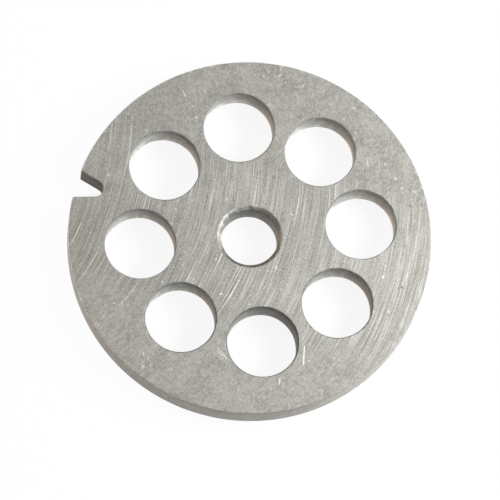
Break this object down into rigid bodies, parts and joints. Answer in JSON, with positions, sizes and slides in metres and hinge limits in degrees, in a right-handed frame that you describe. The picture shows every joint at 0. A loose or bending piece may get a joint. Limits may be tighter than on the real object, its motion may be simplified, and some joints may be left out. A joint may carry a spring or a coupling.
{
  "type": "meat grinder plate",
  "caption": "Flat round steel plate that a meat grinder cuts against: a ring of large through holes, a chamfered centre bore and a tapered locating notch in the rim.",
  "frame": {"origin": "centre of the bore at the underside, which is the face the plate lies on", "axes": "+Z along the bore, out of the cutting face with the lead-in; -X out through the locating notch"},
  "size_m": [0.0539, 0.054, 0.005],
  "materials": {
    "ground_steel": "surface ground on both faces, with a faint brown tint at the rim and in the notch"
  },
  "bodies": {
    "root": {"grinder_plate": "ground_steel"}
  },
  "joints": []
}
